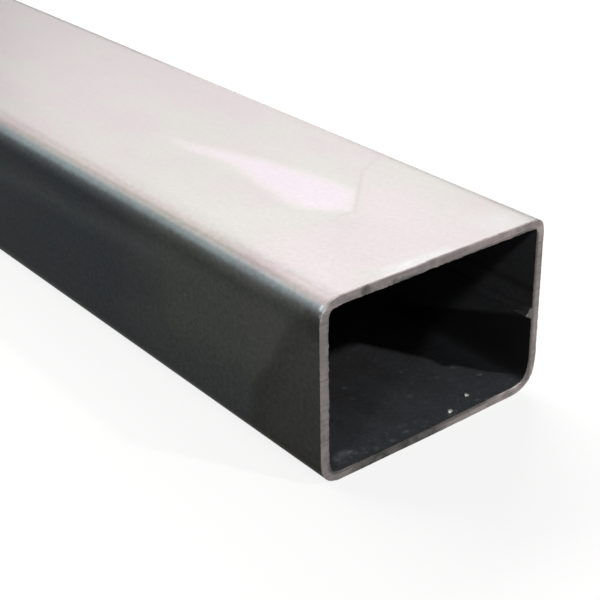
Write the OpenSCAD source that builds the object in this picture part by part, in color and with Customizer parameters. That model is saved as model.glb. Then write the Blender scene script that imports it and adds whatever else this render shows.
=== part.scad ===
// Rectangular steel tube: one length of roll-formed, seam-welded hollow section, sawn square at both ends.
// Millimetres, +Z up, +X along the tube, origin on the floor under the middle of the tube.

/* [Section] */
// Outside width, between the two narrow sides
tube_w = 60; // [40:1:100]
// Outside height, between the two broad faces
tube_h = 40; // [30:1:60]
// Thickness of the strip that the tube is rolled from
wall = 2; // [1.5:0.1:4]

/* [Length] */
// Length between the two sawn ends
tube_l = 1000; // [100:10:6000]

/* [Bends] */
// Outside radius of the three tight bends
tight_bend_r = 4.5; // [2.5:0.1:8]
// Outside radius of the slack bend, at the foot of the welded side
slack_bend_r = 6.5; // [2.5:0.1:10]
// Smallest inside radius that the strip can be bent to
least_inside_r = 0.5; // [0.2:0.1:1]

/* [Weld seam] */
// Distance of the seam below the middle of the welded side
seam_drop = 1.5; // [-4:0.1:4]
// Width of the bead that the weld leaves on the inside
bead_w = 2.4; // [1:0.1:4]
// Height of the bead above the inside of the wall
bead_h = 1.2; // [0.3:0.1:1.8]

/* [Hidden] */
$fn = 64;

// The welded side faces +Y. Each bend is [side of the section, top or bottom, outside radius].
bends = [
    [-1, 1, tight_bend_r],
    [1, 1, tight_bend_r],
    [1, -1, slack_bend_r],
    [-1, -1, tight_bend_r],
];

// The bead's top is an arc that rises by bead_h over a chord of bead_w.
bead_r = (pow(bead_w / 2, 2) + pow(bead_h, 2)) / (2 * bead_h);
inside_half_w = tube_w / 2 - wall;
seam_z = tube_h / 2 - seam_drop;

// What a bend of radius r takes off a square corner, with the corner towards +X and +Y
module bend_waste(r) {
    difference() {
        square(2 * r);
        circle(r);
    }
}

// Outline of the rolled strip, offset inwards by depth, so that the inside bends share the outside centres
module rolled_outline(depth) {
    half_w = tube_w / 2 - depth;
    half_h = tube_h / 2 - depth;
    translate([0, tube_h / 2])
        difference() {
            square([2 * half_w, 2 * half_h], center = true);
            for (bend = bends) {
                r = max(bend[2] - depth, least_inside_r);
                translate([bend[0] * (half_w - r), bend[1] * (half_h - r)])
                    mirror([bend[0] < 0 ? 1 : 0, 0])
                        mirror([0, bend[1] < 0 ? 1 : 0])
                            bend_waste(r);
            }
        }
}

// The open bore: the inside of the strip, less the weld bead that stands into it
module bore_outline() {
    difference() {
        rolled_outline(wall);
        translate([inside_half_w + bead_r - bead_h, seam_z])
            circle(bead_r);
    }
}

// The whole tube: its section, carried from one sawn end to the other
module tube() {
    color([0.24, 0.25, 0.25])
        translate([-tube_l / 2, 0, 0])
            rotate([90, 0, 90])
                linear_extrude(tube_l)
                    difference() {
                        rolled_outline(0);
                        bore_outline();
                    }
}

tube();
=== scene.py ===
"""Looks of a rectangular steel tube: rolled skin, sawn ends, dark bore, saw burr and swarf.

Lengths are in metres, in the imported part's frame: +X runs along the tube to its near end, +Y faces the welded
side, and +Z is up from the floor that the tube lies on. The marks of the finishes are in millimetres.
"""

from __future__ import annotations

import logging
import math
from collections.abc import Callable, Iterable
from dataclasses import dataclass, fields, replace
from enum import Enum, IntEnum
from functools import reduce
from typing import Any

import bmesh
import bpy
import numpy as np
from mathutils import Matrix, Vector


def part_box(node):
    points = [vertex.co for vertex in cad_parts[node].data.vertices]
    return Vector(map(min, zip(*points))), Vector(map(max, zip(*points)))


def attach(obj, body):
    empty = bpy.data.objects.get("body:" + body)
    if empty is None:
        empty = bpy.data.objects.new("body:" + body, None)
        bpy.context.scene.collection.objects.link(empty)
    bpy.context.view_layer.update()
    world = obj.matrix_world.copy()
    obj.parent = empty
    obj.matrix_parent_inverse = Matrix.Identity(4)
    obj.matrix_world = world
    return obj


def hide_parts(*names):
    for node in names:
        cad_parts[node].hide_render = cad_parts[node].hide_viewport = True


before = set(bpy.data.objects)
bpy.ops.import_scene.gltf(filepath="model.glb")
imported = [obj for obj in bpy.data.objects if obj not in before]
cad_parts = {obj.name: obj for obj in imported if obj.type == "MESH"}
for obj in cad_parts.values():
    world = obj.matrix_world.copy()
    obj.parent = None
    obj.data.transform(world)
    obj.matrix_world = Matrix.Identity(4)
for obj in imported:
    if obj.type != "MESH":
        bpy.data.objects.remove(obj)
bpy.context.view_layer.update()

MM = 0.001
BODY = "root"
NODE = "tube"

Colour = tuple[float, float, float]
Point = tuple[float, float, float]
Span = tuple[float, ...]
Material = bpy.types.Material
Object = bpy.types.Object

log = logging.getLogger("steel_tube")


class Surface(IntEnum):
    """The finishes of the tube's own faces, as numbered on its mesh."""

    SKIN = 0
    SAWN = 1
    BORE = 2


class Blend(Enum):
    """How two colours are mixed."""

    REPLACE = "MIX"
    MULTIPLY = "MULTIPLY"


def math_method(operation: str, swapped: bool = False) -> Callable[..., Wire]:
    """A method of Wire that adds one Math node.

    Args:
        operation: The Math node's operation.
        swapped: Whether the wire comes second, as it does where a number stands before it.

    Returns:
        The method.
    """

    def method(self: Wire, other: Value = 0.0) -> Wire:
        """Adds the node and gives its result."""
        first, second = (other, self) if swapped else (self, other)
        return self.bench.add("ShaderNodeMath", {"operation": operation}, {0: first, 1: second})

    return method


class Wire:
    """A node's output socket. Python arithmetic on it adds Math nodes."""

    __add__, __radd__ = math_method("ADD"), math_method("ADD", swapped=True)
    __sub__, __rsub__ = math_method("SUBTRACT"), math_method("SUBTRACT", swapped=True)
    __mul__, __rmul__ = math_method("MULTIPLY"), math_method("MULTIPLY", swapped=True)
    __truediv__, __rtruediv__ = math_method("DIVIDE"), math_method("DIVIDE", swapped=True)
    __abs__, root, sine = math_method("ABSOLUTE"), math_method("SQRT"), math_method("SINE")
    at_most, at_least = math_method("MINIMUM"), math_method("MAXIMUM")

    def __init__(self, bench: NodeBench, socket: bpy.types.NodeSocket) -> None:
        """Keeps the socket and the bench whose tree it belongs to."""
        self.bench = bench
        self.socket = socket

    def __neg__(self) -> Wire:
        """Opposite."""
        return self * -1.0

    def ease(self, low: Value, high: Value) -> Wire:
        """A soft step from 0 at low to 1 at high, which may lie below low."""
        sockets = {"Value": self, "From Min": low, "From Max": high}
        return self.bench.add("ShaderNodeMapRange", {"interpolation_type": "SMOOTHSTEP"}, sockets)

    def near(self, centre: Value, reach: Value, fade: float) -> Wire:
        """A soft-edged band: 1 within reach of the centre, fading to 0 beyond."""
        return (reach - abs(self - centre)).ease(-fade, fade)

    def soft(self, span: Span) -> Wire:
        """A soft step or a soft-edged band, which a second step may end.

        Args:
            span: A step (low, high) or a band (centre, reach, fade), then the second step if any.

        Returns:
            Its height, from 0 to 1.
        """
        used = 2 + len(span) % 2
        level = self.ease(*span[:used]) if used == 2 else self.near(*span[:used])
        return level * self.ease(*span[used:]) if span[used:] else level


Value = Wire | float


class NodeBench:
    """Adds nodes to one tree, of shaders or of geometry."""

    def __init__(self, tree: bpy.types.NodeTree) -> None:
        """Takes the tree to work on."""
        self.tree = tree

    def add(
        self,
        kind: str,
        settings: dict[str, Any] | None = None,
        sockets: dict[str | int, Any] | None = None,
        out: str | int = 0,
    ) -> Wire:
        """Adds one node.

        Args:
            kind: The node's type.
            settings: Its own properties, which are set first.
            sockets: Its inputs, by identifier, name or number: each a value, a wire or a list of wires.
            out: The output that is wanted.

        Returns:
            That output.
        """
        node = self.tree.nodes.new(kind)
        for name, value in (settings or {}).items():
            setattr(node, name, value)
        for key, value in (sockets or {}).items():
            self._feed(self._find(node.inputs, key), value)
        return Wire(self, self._find(node.outputs, out)) if node.outputs else None

    @staticmethod
    def _find(sockets: bpy.types.bpy_prop_collection, key: str | int) -> bpy.types.NodeSocket:
        """The socket with that number, identifier or name."""
        if isinstance(key, int):
            return sockets[key]
        return next((s for s in sockets if s.identifier == key), None) or sockets[key]

    def _feed(self, socket: bpy.types.NodeSocket, value: Any) -> None:
        """Links wires to a socket, or sets its value."""
        if isinstance(value, Wire):
            self.tree.links.new(value.socket, socket)
        elif isinstance(value, list):
            for wire in value:
                self.tree.links.new(wire.socket, socket)
        elif socket.type == "RGBA" and len(value) == 3:
            socket.default_value = (*value, 1.0)
        else:
            socket.default_value = value

    @staticmethod
    def _spaced(sockets: dict[str, Any]) -> dict[str, Any]:
        """Inputs by their names in Blender, which have spaces for _."""
        return {key.replace("_", " "): value for key, value in sockets.items()}

    def split(self, vector: Wire) -> tuple[Wire, Wire, Wire]:
        """The three parts of a vector."""
        parts = self.add("ShaderNodeSeparateXYZ", sockets={"Vector": vector}).socket.node.outputs
        return Wire(self, parts[0]), Wire(self, parts[1]), Wire(self, parts[2])

    def join(self, x: Value, y: Value = 0.0, z: Value = 0.0) -> Wire:
        """A vector of three parts."""
        return self.add("ShaderNodeCombineXYZ", sockets={0: x, 1: y, 2: z})

    def noise(
        self, place: Wire, scale: Value = 1.0, detail: float = 3.0, rough: float = 0.5, seed: Value = 0.0
    ) -> Wire:
        """Soft noise around 0.5, with so many features in a unit. The seed picks one of many patterns."""
        sockets = {"Vector": place, "W": seed, "Scale": scale, "Detail": detail, "Roughness": rough}
        return self.add("ShaderNodeTexNoise", {"noise_dimensions": "4D"}, sockets)

    def mix(self, share: Value, first: Any, second: Any, blend: Blend = Blend.REPLACE) -> Wire:
        """Two colours mixed.

        Args:
            share: How much of the second there is.
            first: A colour or a wire.
            second: Another.
            blend: How they are mixed.

        Returns:
            The mixed colour.
        """
        settings = {"data_type": "RGBA", "blend_type": blend.value}
        sockets = {"Factor_Float": share, "A_Color": first, "B_Color": second}
        return self.add("ShaderNodeMix", settings, sockets, out="Result_Color")

    def layers(self, base: Any, *coats: tuple[Wire, Any]) -> Wire:
        """A base colour with coats over it in turn, each by how much it covers and its colour."""
        return reduce(lambda under, coat: self.mix(coat[0], under, coat[1]), coats, base)

    def gain(self, colour: Wire, level: Wire) -> Wire:
        """A colour made lighter or darker, by a level around 1."""
        return self.mix(1.0, colour, self.join(level, level, level), Blend.MULTIPLY)

    def bump(self, height: Wire, distance: float, strength: float = 1.0, over: Wire | None = None) -> Wire:
        """Fine relief on a surface.

        Args:
            height: Its height, from 0 to 1.
            distance: What a height of 1 measures.
            strength: How much of it shows.
            over: The normal of other relief that it adds to.

        Returns:
            The normal.
        """
        sockets = {"Height": height, "Distance": distance, "Strength": strength}
        if over:
            sockets["Normal"] = over
        return self.add("ShaderNodeBump", None, sockets)


class ShaderBench(NodeBench):
    """A new material and the bench for its nodes."""

    def __init__(self, name: str) -> None:
        """Makes an empty material of that name."""
        self.material = bpy.data.materials.new(name)
        self.material.use_nodes = True
        self.material.node_tree.nodes.clear()
        super().__init__(self.material.node_tree)

    def place(self) -> Wire:
        """Coordinates of the surface, in the part's frame."""
        return self.add("ShaderNodeTexCoord", out="Object")

    def finish(self, **sockets: Any) -> Material:
        """Closes the material with one surface shader.

        Args:
            sockets: The shader's inputs, with _ for the spaces in their names.

        Returns:
            The material.
        """
        shader = self.add("ShaderNodeBsdfPrincipled", None, self._spaced(sockets))
        self.add("ShaderNodeOutputMaterial", None, {"Surface": shader})
        return self.material


class GeometryBench(NodeBench):
    """A new Geometry Nodes tree with named inputs, and the way to run it on an object."""

    def __init__(self, name: str) -> None:
        """Makes an empty tree of that name."""
        super().__init__(bpy.data.node_groups.new(name, "GeometryNodeTree"))
        self.given: dict[str, Any] = {}
        self.tree.interface.new_socket("Geometry", in_out="INPUT", socket_type="NodeSocketGeometry")
        self.tree.interface.new_socket("Geometry", in_out="OUTPUT", socket_type="NodeSocketGeometry")
        self.entry = self.tree.nodes.new("NodeGroupInput")

    def base(self) -> Wire:
        """The geometry of the object that the tree works on."""
        return Wire(self, self.entry.outputs["Geometry"])

    def take(self, name: str, kind: str, value: Any) -> Wire:
        """Adds a named input.

        Args:
            name: Its name.
            kind: The kind of its socket: Float, Int or Material.
            value: What this object gives it.

        Returns:
            The input.
        """
        item = self.tree.interface.new_socket(name, in_out="INPUT", socket_type=f"NodeSocket{kind}")
        self.given[item.identifier] = value
        return Wire(self, self._find(self.entry.outputs, item.identifier))

    def geo(self, kind: str, settings: dict[str, Any] | None = None, **sockets: Any) -> Wire:
        """Adds a node, by the end of its type and by its inputs, with _ for the spaces in their names."""
        return self.add(f"GeometryNode{kind}", settings, self._spaced(sockets))

    def named(self, attribute: str, kind: str) -> Wire:
        """A named attribute of the geometry."""
        return self.geo("InputNamedAttribute", {"data_type": kind}, Name=attribute)

    def place(self) -> Wire:
        """The position of each point."""
        return self.geo("InputPosition")

    def run(self, obj: Object, result: Wire) -> None:
        """Runs the tree on an object and keeps its result as the object's plain mesh.

        Args:
            obj: The object that holds the base geometry.
            result: The tree's last geometry.
        """
        self.add("NodeGroupOutput", None, {"Geometry": result})
        modifier = obj.modifiers.new(self.tree.name, "NODES")
        modifier.node_group = self.tree
        for identifier, value in self.given.items():
            modifier[identifier] = value
        shaped = obj.evaluated_get(bpy.context.evaluated_depsgraph_get())
        mesh = bpy.data.meshes.new_from_object(shaped)
        obj.modifiers.remove(modifier)
        mesh.name = obj.name
        obj.data = mesh


def new_object(name: str, verts: Any, edges: Any = (), faces: Any = ()) -> Object:
    """A mesh object at the origin.

    Args:
        name: The piece's name.
        verts: Its points.
        edges: Its loose edges.
        faces: Its faces.

    Returns:
        The object, linked to the scene.
    """
    mesh = bpy.data.meshes.new(name)
    mesh.from_pydata([tuple(v) for v in verts], list(edges), list(faces))
    obj = bpy.data.objects.new(name, mesh)
    bpy.context.scene.collection.objects.link(obj)
    return obj


@dataclass(frozen=True)
class Section:
    """The rolled section across the tube: bent strip with a weld bead inside the +Y wall.

    The sharp bend is the upper one of that wall, and the slack bend is the lower one.
    """

    width: float
    height: float
    wall: float = 2.0 * MM
    tight_bend: float = 4.5 * MM
    slack_bend: float = 6.5 * MM
    sharp_bend: float = 2.8 * MM
    seam_drop: float = 1.5 * MM
    bead_width: float = 2.4 * MM
    bead_height: float = 1.2 * MM
    fin_height: float = 0.9 * MM
    fin_width: float = 1.1 * MM
    fin_drop: float = 0.25 * MM
    fin_power: float = 1.5
    bend_power: float = 3.0
    bend_steps: int = 18
    flat_step: float = 1.3 * MM
    bead_steps: int = 28

    @property
    def seam(self) -> float:
        """Height of the weld seam above the floor."""
        return self.height / 2 - self.seam_drop

    def in_mm(self) -> Section:
        """The same section with its lengths in millimetres, for the finishes."""
        floats = (field.name for field in fields(self) if field.type == "float")
        lengths = [name for name in floats if not name.endswith("power")]
        return replace(self, **{name: getattr(self, name) / MM for name in lengths})

    def bead(self, z: np.ndarray) -> np.ndarray:
        """How far the weld bead and its fin stand out of the +Y wall.

        Args:
            z: Heights above the floor.

        Returns:
            The distance at each height.
        """
        off = z - self.seam
        arc = np.sqrt(np.clip(1 - (2 * off / self.bead_width) ** 2, 0, 1))
        fin = np.clip(1 - np.abs(off + self.fin_drop) / (self.fin_width / 2), 0, 1)
        return self.bead_height * arc + self.fin_height * fin**self.fin_power

    def bends(self) -> list[tuple[int, int, float]]:
        """The bends round the section, each as its side, its top or bottom, and its outside radius."""
        tight = self.tight_bend
        return [(1, 1, self.sharp_bend), (-1, 1, tight), (-1, -1, tight), (1, -1, self.slack_bend)]

    def outer(self) -> tuple[np.ndarray, np.ndarray]:
        """The outside of the strip.

        Returns:
            Points (y, z) round the section, seen anticlockwise from the near end, and their outward normals.
        """
        arcs = []
        path, facing = self._soft_bend()
        quarter = np.array([[0.0, 1.0], [-1.0, 0.0]])
        half_w, half_h = self.width / 2, self.height / 2
        for number, (side, level, r) in enumerate(self.bends()):
            reach = r * (1 - math.sqrt(0.5)) / (1 - 0.5 ** (1 / self.bend_power))
            centre = np.array([side * (half_w - reach), half_h + level * (half_h - reach)])
            turn = np.linalg.matrix_power(quarter, number)
            arcs.append((centre + reach * path @ turn, facing @ turn))
        points, normals = [], []
        for number, (arc, facing) in enumerate(arcs):
            start, end = arc[-1], arcs[(number + 1) % len(arcs)][0][0]
            share = self._flat_shares(start, end, welded=number == len(arcs) - 1)
            points += [arc, start + share[:, None] * (end - start)]
            normals += [facing, np.repeat(facing[-1:], len(share), axis=0)]
        return np.concatenate(points), np.concatenate(normals)

    def _soft_bend(self) -> tuple[np.ndarray, np.ndarray]:
        """A bend that leaves its flats gently, as rolls make it: a quarter of a superellipse of reach 1.

        Returns:
            Its points from +Y to +Z, and their outward normals.
        """
        angles = np.linspace(0, math.pi / 2, self.bend_steps + 1)
        round_path = np.clip(np.column_stack([np.cos(angles), np.sin(angles)]), 0, 1)
        round_path[0], round_path[-1] = (1, 0), (0, 1)
        facing = round_path ** (2 - 2 / self.bend_power)
        return round_path ** (2 / self.bend_power), facing / np.linalg.norm(facing, axis=1, keepdims=True)

    def _flat_shares(self, start: np.ndarray, end: np.ndarray, welded: bool) -> np.ndarray:
        """Where a flat has points between its ends, with close ones over the weld bead.

        Args:
            start: The flat's first point.
            end: Its last point.
            welded: Whether the flat has the bead.

        Returns:
            Shares of the flat's length, without its ends.
        """
        length = float(np.linalg.norm(end - start))
        share = np.linspace(0, 1, max(2, round(length / self.flat_step)) + 1)[1:-1]
        if not welded:
            return share
        middle = (self.seam - start[1]) / (end[1] - start[1])
        reach = self.bead_width / length
        clear = share[np.abs(share - middle) > reach]
        return np.sort(np.concatenate([clear, middle + reach * np.linspace(-1, 1, self.bead_steps + 1)]))

    def inner(self) -> np.ndarray:
        """The inside of the strip, with the weld bead, point for point with the outside."""
        points, normals = self.outer()
        inside = points - self.wall * normals
        welded = normals[:, 0] > 1 - 1e-9
        inside[welded, 0] -= self.bead(inside[welded, 1])
        return inside


def soft_step(value: np.ndarray) -> np.ndarray:
    """A soft step from 0 to 1 as the value goes from 0 to 1."""
    t = np.clip(value, 0, 1)
    return t * t * (3 - 2 * t)


@dataclass(frozen=True)
class SawCut:
    """What the saw left on an end: a face out of square, broken edges and a step where the blade settled."""

    half_width: float
    lean_y: float = 0.0112
    lean_z: float = 0.0125
    edge_break: float = 0.16 * MM
    break_share: float = 0.1
    wave: float = 0.03 * MM
    wave_pitch: float = 2.6 * MM
    wave_slant: float = 0.18
    step: float = 0.28 * MM
    step_at: float = -3.5 * MM
    step_run: float = 0.9 * MM
    step_spread: float = 24.0 * MM

    def sink(self, y: np.ndarray, z: np.ndarray, across: np.ndarray | float) -> np.ndarray:
        """How far each point of the cut lies behind the tube's nominal end.

        Args:
            y: Places across the tube.
            z: Heights.
            across: Shares of the wall, from 0 on the outside to 1 on the inside.

        Returns:
            The distances.
        """
        lean = self.lean_y * (y + self.half_width) + self.lean_z * z
        from_edge = np.minimum(across, 1 - across) / self.break_share
        broken = self.edge_break * (1 - soft_step(from_edge))
        waves = self.wave / 2 * (1 + np.sin(math.tau * (z + self.wave_slant * y) / self.wave_pitch))
        run = self.step_run + self.step_spread * soft_step(1 - z / self.half_width)
        stepped = self.step * soft_step((y - self.step_at) / run)
        return lean + broken + waves + stepped


@dataclass(frozen=True)
class Place:
    """Where a surface lies, in millimetres: behind the near end, across the tube and up from the floor."""

    behind: Wire
    across: Wire
    up: Wire

    @classmethod
    def of(cls, bench: ShaderBench, near_end: float = 0.0) -> Place:
        """The places of a material's surface, for a near end at that X."""
        x, y, z = bench.split(bench.place())
        return cls((near_end - x) / MM, y / MM, z / MM)


@dataclass(frozen=True)
class Mark:
    """A mark on a finish: its span in each direction, in millimetres, and how strong it is.

    A span is a soft step or band, as Wire.soft takes it. The first direction that has one may stray with a
    noise, by so many millimetres.
    """

    behind: Span = ()
    across: Span = ()
    up: Span = ()
    stray: float = 0.0
    strength: float = 1.0

    def on(self, place: Place, wander: Value = 0.0) -> Wire:
        """How strong the mark is on a surface.

        Args:
            place: Where the surface lies.
            wander: A noise around 0, for a mark that strays.

        Returns:
            A level from 0 to the mark's strength.
        """
        level, stray = self.strength, self.stray
        for direction in ("behind", "across", "up"):
            span, at = getattr(self, direction), getattr(place, direction)
            if span:
                level = level * (at + wander * stray if stray else at).soft(span)
                stray = 0.0
        return level


@dataclass(frozen=True)
class Dot:
    """A soft round mark, by its middle in two directions, its reach in millimetres, and its strength."""

    u: float
    v: float
    reach: float
    strength: float = 1.0

    def on(self, u: Wire, v: Wire) -> Wire:
        """How strong the mark is, from its strength in the middle to 0 beyond its reach."""
        off_u, off_v = (u - self.u) / self.reach, (v - self.v) / self.reach
        return (off_u * off_u + off_v * off_v).ease(1.0, 0.0) * self.strength


@dataclass(frozen=True)
class Line:
    """A line that is level up to a bend and then slopes, and that strays with a noise, in millimetres."""

    start: float
    slope: float
    bend: float = 0.0
    stray: float = 0.0

    def at(self, along: Wire, wander: Value = 0.0) -> Wire:
        """The line's place at each distance along it, with a noise around 0 for one that strays."""
        return self.start + (along - self.bend).at_least(0.0) * self.slope + wander * self.stray


@dataclass(frozen=True)
class Noise:
    """A pattern of soft noise, by the features that a metre has, the same all ways or along X, Y and Z."""

    scale: float = 1.0
    stretch: Point = (1.0, 1.0, 1.0)
    detail: float = 3.0
    rough: float = 0.5
    seed: float = 0.0

    def on(self, bench: ShaderBench) -> Wire:
        """The pattern on a material's surface, around 0.5."""
        sockets = {"Vector": bench.place(), "Scale": self.stretch}
        place = bench.add("ShaderNodeMapping", {"vector_type": "POINT"}, sockets)
        return bench.noise(place, self.scale, self.detail, self.rough, self.seed)


def least(levels: Iterable[Wire]) -> Wire:
    """The smallest of several levels."""
    return reduce(Wire.at_most, levels)


def strongest(levels: Iterable[Wire]) -> Wire:
    """The greatest of several levels."""
    return reduce(Wire.at_least, levels)


@dataclass(frozen=True)
class MillSkin:
    """Dark rolled skin of the outside, rubbed paler on the upper face and painted brighter there as sheen, with
    roll marks and tide marks, and with painted highlights, glints and shade round the plain side's upper bend.

    The marks near the near end lie where the photograph shows them; the rest of the skin is strewn at random.
    """

    cream: Colour = (0.0855, 0.0873, 0.0845)
    mauve: Colour = (0.0868, 0.083, 0.0857)
    rosy: Colour = (0.0912, 0.0867, 0.0898)
    lilac: Colour = (0.1005, 0.0962, 0.1055)
    chalk: Colour = (0.102, 0.102, 0.101)
    frost: Colour = (0.100, 0.1055, 0.1055)
    # Painted highlight: a pale blue-grey sheen painted along the plain side's upper bend.
    bend_sheen: Colour = (0.118, 0.134, 0.140)
    # Painted glint: the colour of two pale spots painted on the bend just behind the cut.
    painted_glint: Colour = (0.158, 0.170, 0.173)
    scarfed: Colour = (0.046, 0.052, 0.056)
    tide: Colour = (0.066, 0.065, 0.064)
    blue: Colour = (0.0300, 0.0342, 0.0364)
    violet: Colour = (0.0318, 0.0325, 0.0352)
    # Painted shade under the upper bend of the plain side.
    shade: Colour = (0.024, 0.028, 0.030)
    olive: Colour = (0.046, 0.0487, 0.0442)
    streaked: Colour = (0.051, 0.057, 0.0585)
    dry: Colour = (0.053, 0.0535, 0.0495)
    wet: Colour = (0.026, 0.026, 0.023)
    brown: Colour = (0.027, 0.025, 0.021)
    metallic: float = 1.0
    edge_tint: Colour = (0.5, 0.5, 0.5)
    roughness: float = 0.36
    streaks: Noise = Noise(stretch=(4.0, 1100.0, 1100.0))
    blooms: Noise = Noise(stretch=(14.0, 38.0, 38.0), detail=4.0, rough=0.55, seed=3.0)
    patches: Noise = Noise(75.0, seed=8.0)
    mottles: Noise = Noise(900.0, rough=0.65, seed=6.0)
    ripples: Noise = Noise(stretch=(55.0, 210.0, 210.0), detail=2.0, seed=9.0)
    grains: Noise = Noise(2600.0, detail=2.0)
    ragged: float = 2.6
    plain_side: Span = (5.0, 3.0)
    seam_strip: Span = (1.1, 0.5)
    # The rubbed band of the upper face: partly real wear, partly painted sheen, and it also places the bend's
    # painted highlight.
    rubbed_sheen_from: float = 7.6
    rubbed_sheen_full: float = 0.8
    rubbed_sheen_less: Mark = Mark(behind=(24.0, 6.0), strength=1.6)
    # Painted highlight along the bend: a sheen line, with a sheen band below it and near the cut.
    sheen_line: Mark = Mark(behind=(45.0, 20.0), up=(38.5, 0.15, 0.45), strength=0.5)
    sheen_band: Mark = Mark(behind=(35.0, 110.0), up=(36.6, 1.5, 1.6), strength=0.22)
    sheen_band_near_cut: Mark = Mark(behind=(32.0, 20.0, 8.0), up=(37.1, 0.6, 0.8), strength=0.3)
    # Painted glints on the bend near the cut.
    glints: tuple[Dot, ...] = (Dot(1.2, 38.2, 0.7), Dot(0.7, 36.9, 0.6, strength=0.7))
    bluish: Mark = Mark(behind=(38.0, 80.0), stray=70.0)
    low_blue: Mark = Mark(up=(17.0, 9.0), stray=14.0, strength=0.6)
    shade_under_bend: Mark = Mark(up=(33.7, 1.2, 1.6), stray=3.0, strength=0.4)
    streak_line: Line = Line(31.526, slope=-0.042, stray=4.0)
    roll_streak: Mark = Mark(behind=(44.0, 64.0, 240.0, 140.0), strength=0.55)
    dry_spot: Dot = Dot(17.0, 27.5, 10.0, strength=0.5)
    wet_edge: Line = Line(22.6, slope=-0.72, bend=13.0, stray=9.0)
    wet_foot: Mark = Mark(up=(26.0, 12.0), strength=0.22)
    wet_corner: Mark = Mark(behind=(7.5, 3.0), up=(29.5, 33.0), strength=0.95)
    foot: Mark = Mark(up=(7.0, 2.5), stray=5.0)
    near_foot: Mark = Mark(behind=(34.0, 8.0), strength=0.5)
    washed: Mark = Mark(across=(27.0, 8.0), strength=0.85)
    far_mauve: Mark = Mark(behind=(80.0, 130.0), strength=0.06)
    mauve_spot: Dot = Dot(17.0, -8.0, 14.0, strength=0.8)
    smear_middle: Line = Line(1.2, slope=-0.19, bend=60.0)
    smear_sides: tuple[Line, ...] = (Line(14.675, slope=-0.155), Line(-26.6, slope=0.95))
    smear_reach: float = 8.2
    tide_edges: tuple[Line, ...] = (
        Line(28.2, slope=1.0, bend=1.5, stray=1.8),
        Line(35.2, slope=0.55, bend=1.5, stray=1.8),
    )
    tide_line: Mark = Mark(across=(-6.0, -1.0), strength=0.4)
    run_back: Mark = Mark(behind=(28.5, 1.0, 2.5), across=(-9.0, 3.5, 4.0), strength=0.14)
    smudge: Mark = Mark(behind=(25.0, 3.5, 4.0), across=(-4.0, 2.0, 3.0), strength=0.2)
    wiped: Mark = Mark(behind=(4.2, 2.0), across=(-4.5, 9.0, 3.0), stray=12.0)
    cleared: Mark = Mark(behind=(14.0, 6.0), across=(21.0, 5.0, 3.0), stray=6.0, strength=0.45)
    # Painted highlight and painted shade: gains on the upper face's tone that follow the lamps' reflection near
    # the bend and far along the tube.
    painted_shoulder_light: tuple[Mark, ...] = (
        Mark(behind=(70.0, 150.0), strength=0.08),
        Mark(behind=(80.0, 150.0), across=(-12.0, -21.0), strength=-0.045),
        Mark(behind=(22.0, 42.0, 130.0, 95.0), across=(-25.2, 1.2, 2.8), strength=-0.05),
        Mark(behind=(60.0, 30.0, 25.0, 130.0, 95.0), across=(-25.2, 1.2, 2.8), strength=-0.06),
        Mark(behind=(24.0, 4.0), across=(-27.0, 1.0, 1.1), strength=0.3),
        Mark(behind=(6.0, 24.0), across=(-28.2, 0.9, 1.5), strength=-0.16),
        Mark(behind=(50.0, 90.0), across=(-28.2, 0.9, 1.5), strength=0.06),
    )

    def material(self, near_end: float, section: Section) -> Material:
        """Makes the finish.

        Args:
            near_end: Where the near end lies along X, in metres.
            section: The tube's section, in millimetres.

        Returns:
            The material.
        """
        bench = ShaderBench("mill_skin")
        place = Place.of(bench, near_end)
        streak, bloom, patch = self.streaks.on(bench), self.blooms.on(bench), self.patches.on(bench)
        mottle, ripple, grain = self.mottles.on(bench), self.ripples.on(bench), self.grains.on(bench)
        ragged = place.up + (ripple - 0.5) * self.ragged + (mottle - 0.5)
        # Partly real wear and partly painted sheen: the upper face is painted brighter, and this band sets the
        # painted highlight across the bend.
        starts = section.height - self.rubbed_sheen_from + self.rubbed_sheen_less.on(place)
        rubbed_and_sheen = ragged.ease(starts, section.height - self.rubbed_sheen_full)
        upper = rubbed_and_sheen * rubbed_and_sheen
        # Painted highlight: a pale sheen line and band painted along the bend, where the lamps reflect.
        sheen_band = self.sheen_band.on(place) + self.sheen_band_near_cut.on(place) * (ripple - 0.2)
        bend_sheen = (self.sheen_line.on(place) * ripple.ease(0.3, 0.55)).at_least(sheen_band)
        plain = (place.across + section.width / 2).soft(self.plain_side)
        top = self._upper_tones(bench, place, patch + (mottle - 0.5) * 0.2, bloom)
        side = self._side_tones(bench, place, patch + (mottle - 0.5) * 0.25, bloom, plain)
        shaved = (1.0 - plain) * place.up.near(section.seam, *self.seam_strip) * (0.3 + bloom * 0.5)
        speckle = (mottle - 0.5) * (1.0 - upper * 0.55)
        flecks = 1.0 + speckle + (streak - 0.5) * (0.12 - upper * 0.08) + (bloom - 0.5) * 0.10
        # Painted glint: two pale spots painted on the bend.
        glint = strongest(dot.on(place.behind, place.up) for dot in self.glints)
        colour = bench.layers(
            side, (shaved, self.scarfed), (upper, top), (plain * bend_sheen, self.bend_sheen), (plain * glint, self.painted_glint)
        )
        relief = bench.bump(streak * 0.25 + grain * 0.3, 0.02 * MM, 0.5)
        relief = bench.bump(ripple, 0.12 * MM, 0.5, relief)
        return bench.finish(
            Base_Color=bench.gain(colour, flecks),
            Metallic=self.metallic,
            Specular_Tint=self.edge_tint,
            Roughness=self.roughness + (bloom - 0.5) * 0.10 + (streak - 0.5) * 0.02,
            Normal=relief,
        )

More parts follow.
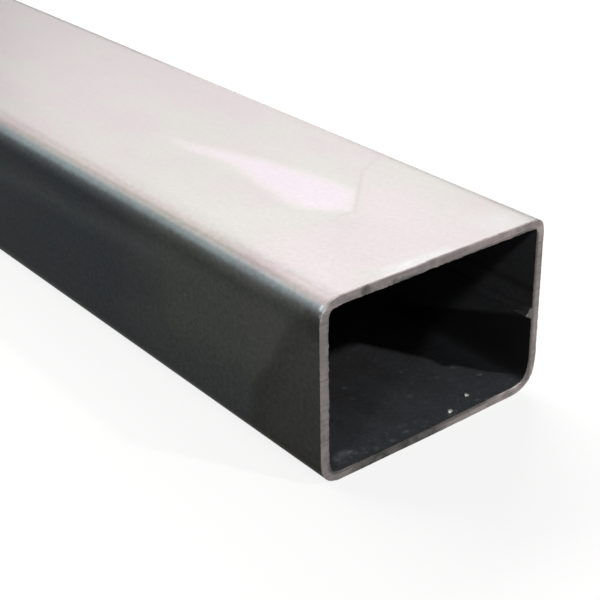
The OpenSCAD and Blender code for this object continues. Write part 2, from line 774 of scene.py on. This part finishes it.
    def _side_tones(self, bench: ShaderBench, place: Place, patch: Wire, bloom: Wire, plain: Wire) -> Wire:
        """Tones of the sides: blue away from the cut, olive near it, darker where the coolant ran, and a
        painted shade under the upper bend.

        Args:
            bench: The material's bench.
            place: Where the surface lies.
            patch: Slow noise.
            bloom: Lengthwise noise.
            plain: 1 on the side without the seam, which has the photograph's marks.

        Returns:
            The colour.
        """
        wander = patch - 0.5
        inside = self.wet_edge.at(place.up, wander) - place.behind
        low = self.low_blue.on(place, wander) * inside.ease(2.0, -1.0)
        cold = bench.mix((bloom * 0.6 + patch * 0.4).ease(0.44, 0.6), self.blue, self.violet)
        drift = self.streak_line.at(place.behind, wander)
        streak = place.up.near(drift, 1.8, 2.8) * self.roll_streak.on(place)
        rim = inside.near(3.5, 2.0, 4.0) * 0.22
        soaked = inside.ease(-2.4, 2.0) * (0.45 + rim + self.wet_foot.on(place))
        return bench.layers(
            self.olive,
            (self.bluish.on(place, wander).at_least(low), cold),
            # Painted shade: a dark band painted just under the bend.
            (plain * self.shade_under_bend.on(place, wander), self.shade),
            (plain * streak, self.streaked),
            (plain * self.dry_spot.on(place.behind, place.up), self.dry),
            (plain * self.wet_corner.on(place).at_least(soaked), self.wet),
            (self.foot.on(place, wander) * (0.3 + self.near_foot.on(place)), self.brown),
        )

    def _upper_tones(self, bench: ShaderBench, place: Place, patch: Wire, bloom: Wire) -> Wire:
        """Tones of the upper face: a smear that ends at a tide line, a wiped strip at the cut, and painted
        highlight and painted shade that follow the lamps' reflection, far along the tube and towards the bend.

        Args:
            bench: The material's bench.
            place: Where the surface lies.
            patch: Slow noise.
            bloom: Lengthwise noise.

        Returns:
            The colour.
        """
        behind, across, wander = place.behind, place.across, patch - 0.5
        line = least(edge.at(across, wander) for edge in self.tide_edges)
        washed = (line - behind).ease(-3.0, 7.0) * self.washed.on(place)
        mottled = (bloom * 0.45 + patch * 0.55 + self.far_mauve.on(place)).ease(0.46, 0.64)
        half = least(side.at(behind) for side in self.smear_sides).at_most(self.smear_reach)
        inside = half - abs(across - self.smear_middle.at(behind) + wander * 3.0) + wander * 1.8
        tide = behind.near(line, 0.4, 0.6) * self.tide_line.on(place) * patch.ease(0.2, 0.5)
        wiped = self.wiped.on(place, wander) * patch.ease(0.2, 0.6)
        colour = bench.layers(
            self.cream,
            (mottled * 0.9, self.mauve),
            (washed * patch.ease(0.3, 0.56), self.rosy),
            (inside.ease(-1.2, 1.6) * 0.55, self.chalk),
            (inside.ease(0.2, 3.6) * (0.5 + bloom * 0.6), self.lilac),
            (self.mauve_spot.on(behind, across), self.mauve),
            (strongest([tide, self.smudge.on(place), self.run_back.on(place)]), self.tide),
            (wiped.at_least(self.cleared.on(place, wander)), self.frost),
        )
        # Painted highlight and painted shade applied as a gain.
        return bench.gain(colour, sum((mark.on(place) for mark in self.painted_shoulder_light), 1.0))


@dataclass(frozen=True)
class SawnSteel:
    """Bare grey steel of the sawn ends, with the fine lines of the blade, dirt along the lower wall, painted
    shade along the inner edges and a painted glint on the upper bend.
    """

    grey: Colour = (0.262, 0.230, 0.225)
    clean: Colour = (0.36, 0.312, 0.304)
    dark: Colour = (0.115, 0.107, 0.105)
    # Dirt, and the painted shade along the inner edges, share this colour.
    dirt_and_shade: Colour = (0.046, 0.047, 0.042)
    inner_edge_dark: Colour = (0.012, 0.012, 0.011)
    glint: Colour = (0.72, 0.78, 0.80)
    metallic: float = 0.8
    roughness: float = 0.48
    lines: Noise = Noise(stretch=(300.0, 60.0, 2200.0))
    blots: Noise = Noise(420.0, rough=0.6, seed=5.0)
    bare: Mark = Mark(across=(2.0, 20.0))
    bare_corner: Mark = Mark(across=(-21.5, -25.5), strength=0.6)
    scuffed: Mark = Mark(across=(-26.0, -28.5), up=(30.0, 4.5, 2.0), strength=0.45)
    grimy: Mark = Mark(across=(4.0, -1.0, -24.5, -19.5))
    shaded_foot: Mark = Mark(across=(21.0, 14.0), strength=0.8)
    shaded_top: tuple[Mark, ...] = (
        Mark(across=(-8.5, 3.0, 3.0), strength=0.85),
        Mark(across=(-2.0, 4.0), strength=0.35),
        Mark(across=(19.0, 23.0), strength=0.3),
    )
    nicks: tuple[Dot, ...] = (
        Dot(-18.9, 38.8, 1.7),
        Dot(-11.7, 38.3, 1.2, strength=0.9),
        Dot(-9.6, 38.2, 1.0, strength=0.8),
    )

    def material(self, section: Section) -> Material:
        """Makes the finish.

        Args:
            section: The tube's section, in millimetres.

        Returns:
            The material.
        """
        bench = ShaderBench("sawn_steel")
        place = Place.of(bench)
        line, blot = self.lines.on(bench), self.blots.on(bench)
        wall, bend, half_width = section.wall, section.tight_bend, section.width / 2
        depth = self._depth(section, place)
        lower = place.up.ease(section.slack_bend, wall)
        upper = place.up.ease(section.height - bend, section.height - wall)
        welded = place.across.ease(half_width - bend, half_width - wall)
        bare = self.bare.on(place) * (upper + lower * 0.6 + 0.45).at_most(1.0)
        bare = bare.at_least(self.bare_corner.on(place) * upper)
        scuffed = self.scuffed.on(place) * depth.ease(1.7, 0.9)
        tone = (line * 0.45 + blot * 0.55).ease(0.62, 0.34) * 0.75
        inner = (depth + (blot - 0.5) * 0.9).ease(wall * 0.55, wall)
        top = upper * sum((mark.on(place) for mark in self.shaded_top), 0.0)
        # Painted shade: the face is darkened along its inner edge, most on the lower and welded walls and in
        # bands on the upper one.
        shaded = (lower * self.shaded_foot.on(place) + welded * 0.6 + top + 0.1).at_most(0.9)
        nicked = strongest(dot.on(place.across, place.up) for dot in self.nicks)
        grimy = lower * self.grimy.on(place)
        grime = grimy * (0.55 + blot.ease(0.36, 0.6) * 0.45)
        bead_end = depth.ease(wall, wall + section.fin_height) * 0.8
        # Painted glint: pale spots painted on the outer edge of the upper bend on the -Y side.
        aside = (place.across + half_width - bend).at_most(0.0) / bend
        above = (place.up - section.height + bend).at_least(0.0) / bend
        lip = (aside * aside + above * above).ease(0.66, 0.94) * above.near(0.42, 0.22, 0.2)
        colour = bench.layers(
            self.grey,
            (bare, self.clean),
            (tone.at_least(scuffed), self.dark),
            (strongest([inner * shaded, nicked * blot.ease(0.3, 0.6) * 0.85, grime, bead_end]), self.dirt_and_shade),
            # Darkest along the inner edge of the lower wall, and on the inner burr there.
            (grimy * depth.ease(1.65, 1.95) * 0.85, self.inner_edge_dark),
            (lip * blot.ease(0.34, 0.54) * aside.ease(-0.3, -0.6), self.glint),
        )
        roughness = self.roughness + (line - 0.5) * 0.25
        relief = bench.bump(line, 0.03 * MM, 0.6)
        return bench.finish(Base_Color=colour, Metallic=self.metallic, Roughness=roughness, Normal=relief)

    @staticmethod
    def _depth(section: Section, place: Place) -> Wire:
        """How deep a point of the cut lies under the tube's outside, round the bends too.

        Args:
            section: The tube's section, in millimetres.
            place: Where the surface lies.

        Returns:
            The depth, from 0 on the outside to the wall on the inside, and more on the weld bead.
        """
        bend = section.tight_bend
        past_y = abs(place.across) - (section.width / 2 - bend)
        past_z = abs(place.up - section.height / 2) - (section.height / 2 - bend)
        out_y, out_z = past_y.at_least(0.0), past_z.at_least(0.0)
        return bend - (out_y * out_y + out_z * out_z).root() - past_y.at_least(past_z).at_most(0.0)


@dataclass(frozen=True)
class BoreSkin:
    """Dull dark inside of the tube, with blue-grey dust on its floor, a dark stripe above the seam and a
    painted shadow under it.
    """

    black: Colour = (0.0335, 0.034, 0.0355)
    dusty: Colour = (0.065, 0.070, 0.080)
    pale: Colour = (0.20, 0.225, 0.235)
    # Near black of the dark stripe above the seam and of the painted shadow under it.
    stripe_and_shadow: Colour = (0.006, 0.006, 0.006)
    specular: float = 0.2
    roughness: float = 0.55
    patches: Noise = Noise(stretch=(90.0, 160.0, 160.0), detail=4.0, rough=0.6)
    dust: Noise = Noise(1300.0, rough=0.65, seed=2.0)
    crumbs: Noise = Noise(620.0, rough=0.6, seed=7.0)
    drifted: Mark = Mark(behind=(26.0, 3.0), strength=0.42)
    heaped: Mark = Mark(behind=(7.0, 1.5), strength=0.45)
    wipe: Mark = Mark(across=(-21.4, 2.8, 0.8), strength=0.7)
    specks: tuple[Dot, ...] = (
        Dot(9.5, 22.0, 0.85, 0.55),
        Dot(21.0, 9.4, 0.85, 0.2),
        Dot(14.3, 13.5, 0.85, 0.25),
        Dot(23.5, -4.6, 0.85, 0.25),
        Dot(19.2, -6.0, 0.85, 0.15),
        Dot(12.4, 4.1, 0.85, 0.15),
        Dot(15.4, 19.5, 0.85, 0.25),
        Dot(1.7, -14.7, 0.85, 0.3),
        Dot(1.8, -10.3, 0.85, 0.5),
        Dot(4.6, -4.3, 0.85, 0.2),
    )

    def material(self, near_end: float, section: Section) -> Material:
        """Makes the finish.

        Args:
            near_end: Where the near end lies along X, in metres.
            section: The tube's section, in millimetres.

        Returns:
            The material.
        """
        bench = ShaderBench("bore_skin")
        place = Place.of(bench, near_end)
        patch, dust, crumb = self.patches.on(bench), self.dust.on(bench), self.crumbs.on(bench)
        lying = place.up.ease(section.wall + 2.5, section.wall + 0.3)
        share = patch.ease(0.35, 0.75) * 0.3 + (dust - 0.5) * 1.6 + lying * (0.12 + self.drifted.on(place))
        shown = strongest(dot.on(place.behind, place.across) for dot in self.specks)
        heaped = crumb.ease(0.54, 0.70) * self.heaped.on(place)
        speck = strongest([heaped, dust.ease(0.62, 0.78) * 0.35, shown * dust.ease(0.2, 0.65)])
        inside = section.width / 2 - section.wall
        welded = place.across.ease(inside - 3.0, inside - 0.5)
        stripe = place.up.near(section.seam + 5.3, 0.7, 1.0) * 0.65
        # Painted shadow: the +Y wall is painted near black below a line that falls from the seam towards the
        # depth.
        shadow_below_seam = (section.seam - place.behind * 0.33 - place.up).ease(-0.5, 0.8) * 0.97
        off = place.across + 21.2
        wipe = place.behind.near(4.4 - off * off * 0.18, 0.8, 0.9) * self.wipe.on(place) * lying
        colour = bench.layers(
            self.black,
            (share.at_least(0.0).at_most(1.0), self.dusty),
            (speck * lying, self.pale),
            (welded * stripe.at_least(shadow_below_seam), self.stripe_and_shadow),
            (wipe * dust.ease(0.3, 0.55), self.pale),
        )
        return bench.finish(
            Base_Color=colour,
            Specular_IOR_Level=self.specular,
            Roughness=self.roughness + (patch - 0.5) * 0.2,
            Normal=bench.bump(dust, 0.03 * MM, 0.4),
        )


@dataclass(frozen=True)
class TornSteel:
    """Torn steel of the burr and the swarf."""

    name: str
    bright: Colour
    dull: Colour
    metallic: float = 0.8
    roughness: float = 0.40
    grains: Noise = Noise(1600.0, detail=2.0)

    def material(self) -> Material:
        """Makes the finish."""
        bench = ShaderBench(self.name)
        grain = self.grains.on(bench)
        colour = bench.mix(grain.ease(0.35, 0.65), self.dull, self.bright)
        roughness = self.roughness + (grain - 0.5) * 0.3
        return bench.finish(Base_Color=colour, Metallic=self.metallic, Roughness=roughness)


@dataclass(frozen=True)
class TubeBody:
    """The tube itself: its section, swept from one sawn end to the other."""

    section: Section
    length: float
    cut: SawCut
    stations: int = 61
    ease_reach: float = 20.0 * MM
    rings: tuple[float, ...] = (0.0, 0.04, 0.1, 0.3, 0.5, 0.7, 0.9, 0.96, 1.0)
    crisp_deg: float = 30.0
    join_gap: float = 0.002 * MM

    def build(self, finishes: dict[Surface, Material]) -> Object:
        """Makes the whole piece.

        Args:
            finishes: The material of each kind of face.

        Returns:
            The tube's object.
        """
        obj = self._flat_section()
        self._sweep(obj, finishes)
        self._saw(obj.data)
        self._shade(obj.data)
        return obj

    def _rungs(self) -> np.ndarray:
        """Points (y, z) of the cut, ring after ring from the outside to the inside."""
        outer, inner = self.section.outer()[0], self.section.inner()
        return np.concatenate([outer + s * (inner - outer) for s in self.rings])

    def _flat_section(self) -> Object:
        """The cut face as a flat mesh at x = 0, with its two borders marked for the sweep."""
        points = self._rungs()
        count = len(points) // len(self.rings)
        verts = np.column_stack([np.zeros(len(points)), points])
        faces = []
        for ring in range(len(self.rings) - 1):
            for i in range(count):
                here, there = ring * count + i, ring * count + (i + 1) % count
                faces.append((here, there, there + count, here + count))
        obj = new_object("steel_tube", verts, faces=faces)
        ends = np.array([tuple(e.vertices) for e in obj.data.edges]) // count
        for name, ring in (("outside", 0), ("inside", len(self.rings) - 1)):
            marks = obj.data.attributes.new(name, "BOOLEAN", "EDGE")
            marks.data.foreach_set("value", (ends == ring).all(axis=1))
        return obj

    def _sweep(self, obj: Object, finishes: dict[Surface, Material]) -> None:
        """Sweeps the flat section along X, with close stations near the ends, and adds the two cuts.

        Args:
            obj: The flat section's object, which becomes the tube.
            finishes: The material of each kind of face.
        """
        bench = GeometryBench("section_sweep")
        length = bench.take("Length", "Float", self.length)
        stations = bench.take("Stations", "Int", self.stations)
        half = length / 2.0
        line = bench.geo("CurvePrimitiveLine", Start=bench.join(-half), End=bench.join(half))
        path = bench.geo("ResampleCurve", {"mode": "COUNT"}, Curve=line, Count=stations)
        along = bench.split(bench.place())[0]
        eased = (along / half * (math.pi / 2)).sine() * half
        path = bench.geo("SetPosition", Geometry=path, Position=bench.join(eased))
        _, y, z = bench.split(bench.place())
        profile = bench.geo("SetPosition", Geometry=bench.base(), Position=bench.join(-y, -z))
        parts = []
        for edge, surface in (("outside", Surface.SKIN), ("inside", Surface.BORE)):
            border = bench.geo("MeshToCurve", Mesh=profile, Selection=bench.named(edge, "BOOLEAN"))
            wall = bench.geo("CurveToMesh", Curve=path, Profile_Curve=border)
            parts.append(self._tag(bench, wall, surface))
        for shift in (half, -half):
            moved = bench.geo("Transform", Geometry=bench.base(), Translation=bench.join(shift))
            parts.append(self._tag(bench, moved, Surface.SAWN))
        whole = bench.geo("JoinGeometry", Geometry=parts)
        whole = bench.geo("MergeByDistance", Geometry=whole, Distance=self.join_gap)
        for surface, material in finishes.items():
            mine = bench.add(
                "FunctionNodeCompare",
                {"data_type": "INT", "operation": "EQUAL"},
                {"A_INT": bench.named("surface", "INT"), "B_INT": int(surface)},
            )
            given = bench.take(material.name, "Material", material)
            whole = bench.geo("SetMaterial", Geometry=whole, Selection=mine, Material=given)
        bench.run(obj, whole)

    @staticmethod
    def _tag(bench: GeometryBench, mesh: Wire, surface: Surface) -> Wire:
        """Notes on a mesh's faces which finish they take."""
        settings = {"data_type": "INT", "domain": "FACE"}
        return bench.geo("StoreNamedAttribute", settings, Geometry=mesh, Name="surface", Value=int(surface))

    def _saw(self, mesh: bpy.types.Mesh) -> None:
        """Sinks the points of both cuts as the saw left them, and eases the walls along behind them."""
        points = np.zeros(len(mesh.vertices) * 3)
        mesh.vertices.foreach_get("co", points)
        points = points.reshape(-1, 3)
        x, y, z = points.T
        behind = self.length / 2 - np.abs(x)
        near = behind < self.ease_reach
        side = np.sign(x[near])
        across = self._across(y[near], z[near])
        share = 1 - behind[near] / self.ease_reach
        points[near, 0] -= side * share * self.cut.sink(y[near] * side, z[near], across)
        mesh.vertices.foreach_set("co", points.ravel())
        mesh.update()

    def _across(self, y: np.ndarray, z: np.ndarray) -> np.ndarray:
        """How deep points of the cut lie in the wall, from 0 on the outside to 1 on the inside."""
        points = self._rungs()
        count = len(points) // len(self.rings)
        nearest = [int(np.argmin(((points - p) ** 2).sum(axis=1))) for p in np.column_stack([y, z])]
        return np.array([self.rings[i // count] for i in nearest])

    def _shade(self, mesh: bpy.types.Mesh) -> None:
        """Turns the faces outwards and shades them smooth between crisp edges."""
        work = bmesh.new()
        work.from_mesh(mesh)
        bmesh.ops.recalc_face_normals(work, faces=work.faces)
        work.to_mesh(mesh)
        work.free()
        mesh.shade_smooth()
        mesh.set_sharp_from_angle(angle=math.radians(self.crisp_deg))


@dataclass(frozen=True)
class SawBurr:
    """A ragged lip of torn steel along the edges of both cuts."""

    section: Section
    length: float
    cut: SawCut
    inside_size: float = 0.22 * MM
    outside_size: float = 0.09 * MM
    spacing: float = 0.3 * MM
    pitch: float = 1.4 * MM
    thinnest: float = 0.15
    sides: int = 5
    seed: float = 4.0

    def build(self, name: str, inside: bool, material: Material) -> Object:
        """Makes the lip along the inner or the outer edge of both ends.

        Args:
            name: The piece's name.
            inside: Whether it is the inner edge.
            material: Its finish.

        Returns:
            The lip's object.
        """
        obj = self._edges(name, inside)
        bench = GeometryBench("burr_lip")
        size = bench.take("Size", "Float", self.inside_size if inside else self.outside_size)
        spacing = bench.take("Spacing", "Float", self.spacing)
        pitch = bench.take("Pitch", "Float", self.pitch)
        seed = bench.take("Seed", "Float", self.seed + inside)
        given = bench.take(material.name, "Material", material)
        edge = bench.geo("MeshToCurve", Mesh=bench.base())
        edge = bench.geo("ResampleCurve", {"mode": "LENGTH"}, Curve=edge, Length=spacing)
        ragged = bench.noise(bench.place(), 1.0 / pitch, detail=3.0, rough=0.7, seed=seed)
        thick = size * (self.thinnest + ragged.ease(0.42, 0.72) * (1.0 - self.thinnest))
        ring = bench.geo("CurvePrimitiveCircle", Resolution=self.sides, Radius=1.0)
        lip = bench.geo("CurveToMesh", Curve=edge, Profile_Curve=ring, Scale=thick)
        x, y, z = bench.split(bench.place())
        lip = bench.geo("SetPosition", Geometry=lip, Position=bench.join(x, y, z.at_least(0.0)))
        lip = bench.geo("SetMaterial", Geometry=lip, Material=given)
        bench.run(obj, lip)
        obj.data.shade_smooth()
        return obj

    def _edges(self, name: str, inside: bool) -> Object:
        """The sawn edges of both ends, as closed loops of the cut's own points."""
        loop = self.section.inner() if inside else self.section.outer()[0]
        count = len(loop)
        verts, edges = [], []
        for end in (1, -1):
            sink = self.cut.sink(loop[:, 0] * end, loop[:, 1], float(inside))
            x = end * (self.length / 2 - sink)
            edges += [(len(verts) + i, len(verts) + (i + 1) % count) for i in range(count)]
            verts += list(np.column_stack([x, loop]))
        return new_object(name, verts, edges=edges)


@dataclass(frozen=True)
class Chip:
    """One chip of steel at a chosen place on the floor of the bore."""

    behind: float
    y: float
    size: float


@dataclass(frozen=True)
class Swarf:
    """Chips of steel that the saw left on the floor of the bore, near both mouths."""

    section: Section
    length: float
    mouth_gap: float = 2.0 * MM
    reach: float = 45.0 * MM
    density: float = 26000.0
    fine: float = 0.07 * MM
    coarse: float = 0.22 * MM
    proportions: Point = (1.0, 0.7, 0.45)
    tilt: float = 0.4
    seed: int = 11
    shown: tuple[Chip, ...] = (
        Chip(behind=2.6 * MM, y=6.4 * MM, size=0.92 * MM),
        Chip(behind=5.1 * MM, y=13.6 * MM, size=0.88 * MM),
    )

    def build(self, bright: Material, dull: Material) -> Object:
        """Makes all the chips.

        Args:
            bright: The finish of the chips that the photograph shows.
            dull: The finish of the strewn ones.

        Returns:
            The chips' object.
        """
        obj = self._places()
        bench = GeometryBench("swarf_scatter")
        density = bench.take("Density", "Float", self.density)
        fine = bench.take("Fine", "Float", self.fine)
        coarse = bench.take("Coarse", "Float", self.coarse)
        seed = bench.take("Seed", "Int", self.seed)
        shining = bench.take(bright.name, "Material", bright)
        plain = bench.take(dull.name, "Material", dull)
        strewn = bench.geo("DistributePointsOnFaces", Mesh=bench.base(), Density=density, Seed=seed)
        size = bench.add(
            "FunctionNodeRandomValue",
            {"data_type": "FLOAT"},
            {"Min_001": fine, "Max_001": coarse, "Seed": seed},
            out="Value_001",
        )
        kept = bench.geo("MeshToPoints", Mesh=bench.base(), Selection=bench.named("shown", "BOOLEAN"))
        heaps = [
            self._chips(bench, strewn, size, seed, plain),
            self._chips(bench, kept, bench.named("size", "FLOAT"), seed, shining),
        ]
        bench.run(obj, bench.geo("JoinGeometry", Geometry=heaps))
        return obj

    def _places(self) -> Object:
        """The patches of floor that chips are strewn on, and the points of the chips in the photograph."""
        floor = self.section.wall
        half_w = self.section.width / 2 - self.section.slack_bend
        verts, faces = [], []
        for end in (1, -1):
            mouth, deep = (end * (self.length / 2 - behind) for behind in (self.mouth_gap, self.reach))
            faces.append(tuple(len(verts) + i for i in range(4)))
            corners = ((mouth, -half_w), (mouth, half_w), (deep, half_w), (deep, -half_w))
            verts += [(x, y, floor) for x, y in corners]
        strewn = len(verts)
        verts += [(self.length / 2 - chip.behind, chip.y, floor) for chip in self.shown]
        obj = new_object("swarf", verts, faces=faces)
        marks = obj.data.attributes.new("shown", "BOOLEAN", "POINT")
        marks.data.foreach_set("value", [False] * strewn + [True] * len(self.shown))
        sizes = obj.data.attributes.new("size", "FLOAT", "POINT")
        sizes.data.foreach_set("value", [0.0] * strewn + [chip.size for chip in self.shown])
        return obj

    def _chips(self, bench: GeometryBench, points: Wire, size: Wire, seed: Wire, finish: Wire) -> Wire:
        """One flat chip on each point, turned at random.

        Args:
            bench: The bench of the tree.
            points: Where the chips lie.
            size: How large each is.
            seed: The seed of their turns.
            finish: Their material.

        Returns:
            The chips.
        """
        flake = bench.geo("MeshIcoSphere", Radius=1.0, Subdivisions=1)
        turn = bench.add(
            "FunctionNodeRandomValue",
            {"data_type": "FLOAT_VECTOR"},
            {"Min": (-self.tilt, -self.tilt, 0.0), "Max": (self.tilt, self.tilt, math.tau), "Seed": seed},
        )
        scale = bench.join(*(size * share for share in self.proportions))
        chips = bench.geo("InstanceOnPoints", Points=points, Instance=flake, Rotation=turn, Scale=scale)
        chips = bench.geo("RealizeInstances", Geometry=chips)
        return bench.geo("SetMaterial", Geometry=chips, Material=finish)


@dataclass(frozen=True)
class Lamp:
    """A soft area lamp that faces a point of the tube.

    Its energy for each unit of radiance and area is energy_share.
    """

    name: str
    azimuth: float
    elevation: float
    distance: float
    width: float
    height: float
    radiance: float
    colour: Colour
    energy_share: float = 4.0

    def build(self, target: Vector) -> Object:
        """Makes the lamp.

        Args:
            target: The point that it faces.

        Returns:
            The lamp's object.
        """
        data = bpy.data.lights.new(self.name, "AREA")
        data.shape = "RECTANGLE"
        data.size = self.width
        data.size_y = self.height
        data.color = self.colour
        data.energy = self.energy_share * self.radiance * self.width * self.height
        lamp = bpy.data.objects.new(self.name, data)
        turn, rise = math.radians(self.azimuth), math.radians(self.elevation)
        away = Vector((math.cos(rise) * math.cos(turn), math.cos(rise) * math.sin(turn), math.sin(rise)))
        lamp.location = target + away * self.distance
        lamp.rotation_euler = away.to_track_quat("Z", "Y").to_euler()
        lamp.visible_camera = False
        bpy.context.scene.collection.objects.link(lamp)
        return lamp


@dataclass(frozen=True)
class Studio:
    """The camera, the lamps, the pale floor and the white surroundings."""

    near_end: Vector
    stand: Point = (167.53 * MM, -165.24 * MM, 150.71 * MM)
    yaw: float = 52.11
    pitch: float = 27.05
    roll: float = 0.57
    lens: float = 81.04
    sensor: float = 36.0
    clip_start: float = 10.0 * MM
    floor_reach: float = 20.0
    floor_fade: Span = (0.1, 1.2)
    floor_pale: float = 0.92
    floor_dim: float = 0.06
    ambient: float = 0.08
    glow: float = 0.84
    lamps: tuple[Lamp, ...] = (
        Lamp("window", 143.2, 28.0, 1.6, 0.88, 0.573, 13.6, (1.0, 0.935, 0.925)),
        Lamp("skylight", 171.8, 38.2, 1.6, 0.525, 0.4665, 11.6, (1.0, 0.87, 0.859)),
        Lamp("sidelight", 198.5, 36.3, 1.6, 0.774, 0.601, 6.5, (1.0, 0.883, 0.835)),
        Lamp("lowlight", 214.1, 17.7, 1.6, 0.80, 0.893, 3.2, (0.78, 0.96, 1.0)),
        Lamp("gaplight", 168.0, 20.0, 1.6, 0.34, 0.34, 3.6, (1.0, 0.9, 0.88)),
        Lamp("backdrop", 132.5, 6.0, 1.6, 0.76, 0.32, 6.8, (1.0, 0.94, 0.91)),
        Lamp("key", 28.0, 43.0, 1.3, 0.055, 0.055, 590.0, (1.0, 0.98, 0.96)),
        Lamp("fill", -63.0, 29.0, 1.3, 0.09, 0.09, 84.0, (1.0, 1.0, 1.0)),
    )

    def build(self) -> None:
        """Sets everything up."""
        self._camera()
        self._world()
        self._floor()
        for lamp in self.lamps:
            lamp.build(self.near_end)
        bpy.context.scene.view_settings.view_transform = "Standard"

    def _camera(self) -> None:
        """Places the camera where the photograph was taken from."""
        yaw, pitch, roll = (math.radians(a) for a in (self.yaw, self.pitch, self.roll))
        back = Vector((math.sin(yaw) * math.cos(pitch), -math.cos(yaw) * math.cos(pitch), math.sin(pitch)))
        level = Vector((math.cos(yaw), math.sin(yaw), 0.0))
        upright = back.cross(level)
        right = math.cos(roll) * level - math.sin(roll) * upright
        up = math.sin(roll) * level + math.cos(roll) * upright
        data = bpy.data.cameras.new("camera")
        data.lens = self.lens
        data.sensor_width = self.sensor
        data.clip_start = self.clip_start
        camera = bpy.data.objects.new("camera", data)
        turn = Matrix((right, up, back)).transposed().to_4x4()
        camera.matrix_world = Matrix.Translation(self.near_end + Vector(self.stand)) @ turn
        bpy.context.scene.collection.objects.link(camera)
        bpy.context.scene.camera = camera

    @staticmethod
    def _seen(bench: NodeBench) -> Wire:
        """1 for what the camera sees, also in a mirror or through glass, and 0 for what lights a surface."""
        kinds = bench.add("ShaderNodeLightPath").socket.node.outputs
        camera, glossy, through = (
            Wire(bench, kinds[name]) for name in ("Is Camera Ray", "Is Glossy Ray", "Is Transmission Ray")
        )
        return (camera + glossy + through).at_most(1.0)

    def _world(self) -> None:
        """White surroundings that light the tube softly."""
        world = bpy.data.worlds.new("studio")
        world.use_nodes = True
        world.node_tree.nodes.clear()
        bench = NodeBench(world.node_tree)
        strength = self.ambient + self._seen(bench) * (1.0 - self.ambient)
        sky = bench.add("ShaderNodeBackground", None, {"Color": (1.0, 1.0, 1.0), "Strength": strength})
        bench.add("ShaderNodeOutputWorld", None, {"Surface": sky})
        bpy.context.scene.world = world

    def _floor(self) -> None:
        """A plain white floor that keeps the tube's shadow and sends little light back into the bore."""
        r = self.floor_reach
        floor = new_object("floor", [(-r, -r, 0), (r, -r, 0), (r, r, 0), (-r, r, 0)], faces=[(0, 1, 2, 3)])
        bench = ShaderBench("floor_paint")
        seen = self._seen(bench)
        dim = bench.add("ShaderNodeBsdfDiffuse", None, {"Color": (self.floor_dim,) * 3})
        pale = bench.add("ShaderNodeBsdfDiffuse", None, {"Color": (self.floor_pale,) * 3})
        matt = bench.add("ShaderNodeMixShader", None, {0: seen, 1: dim, 2: pale})
        white = bench.add("ShaderNodeEmission", None, {"Color": (1.0, 1.0, 1.0), "Strength": 1.0})
        x, y, _ = bench.split(bench.place())
        far = ((x - self.near_end.x) * (x - self.near_end.x) + y * y).soft(self.floor_fade)
        share = seen * (self.glow + far * (1.0 - self.glow))
        paint = bench.add("ShaderNodeMixShader", None, {0: share, 1: matt, 2: white})
        bench.add("ShaderNodeOutputMaterial", None, {"Surface": paint})
        floor.data.materials.append(bench.material)


def settle(obj: Object) -> None:
    """Ties a piece to the part's one body and logs its faces."""
    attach(obj, BODY)
    log.info("%s: %d faces", obj.name, len(obj.data.polygons))


def main() -> None:
    """Builds the tube, its burr and its swarf, and the studio round them."""
    logging.basicConfig(level=logging.INFO, format="%(name)s: %(message)s")
    low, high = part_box(NODE)
    section = Section(width=high.y - low.y, height=high.z - low.z)
    length = high.x - low.x
    torn = TornSteel("torn_steel", bright=(0.24, 0.215, 0.21), dull=(0.10, 0.095, 0.092)).material()
    shining = TornSteel("bright_chips", bright=(0.95, 0.96, 0.88), dull=(0.75, 0.76, 0.70), metallic=0.25)
    bright = shining.material()
    dull = TornSteel("dull_chips", bright=(0.15, 0.16, 0.16), dull=(0.08, 0.085, 0.085)).material()
    sawn = SawnSteel().material(section.in_mm())
    finishes = {
        Surface.SKIN: MillSkin().material(high.x, section.in_mm()),
        Surface.SAWN: sawn,
        Surface.BORE: BoreSkin().material(high.x, section.in_mm()),
    }
    cut = SawCut(half_width=section.width / 2)
    tube = TubeBody(section, length, cut).build(finishes)
    settle(tube)
    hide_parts(NODE)
    burr = SawBurr(section, length, cut)
    settle(burr.build("inner_burr", True, sawn))
    settle(burr.build("outer_burr", False, torn))
    settle(Swarf(section, length).build(bright, dull))
    Studio(near_end=Vector((high.x, 0.0, 0.0))).build()


if __name__ == "__main__":
    main()
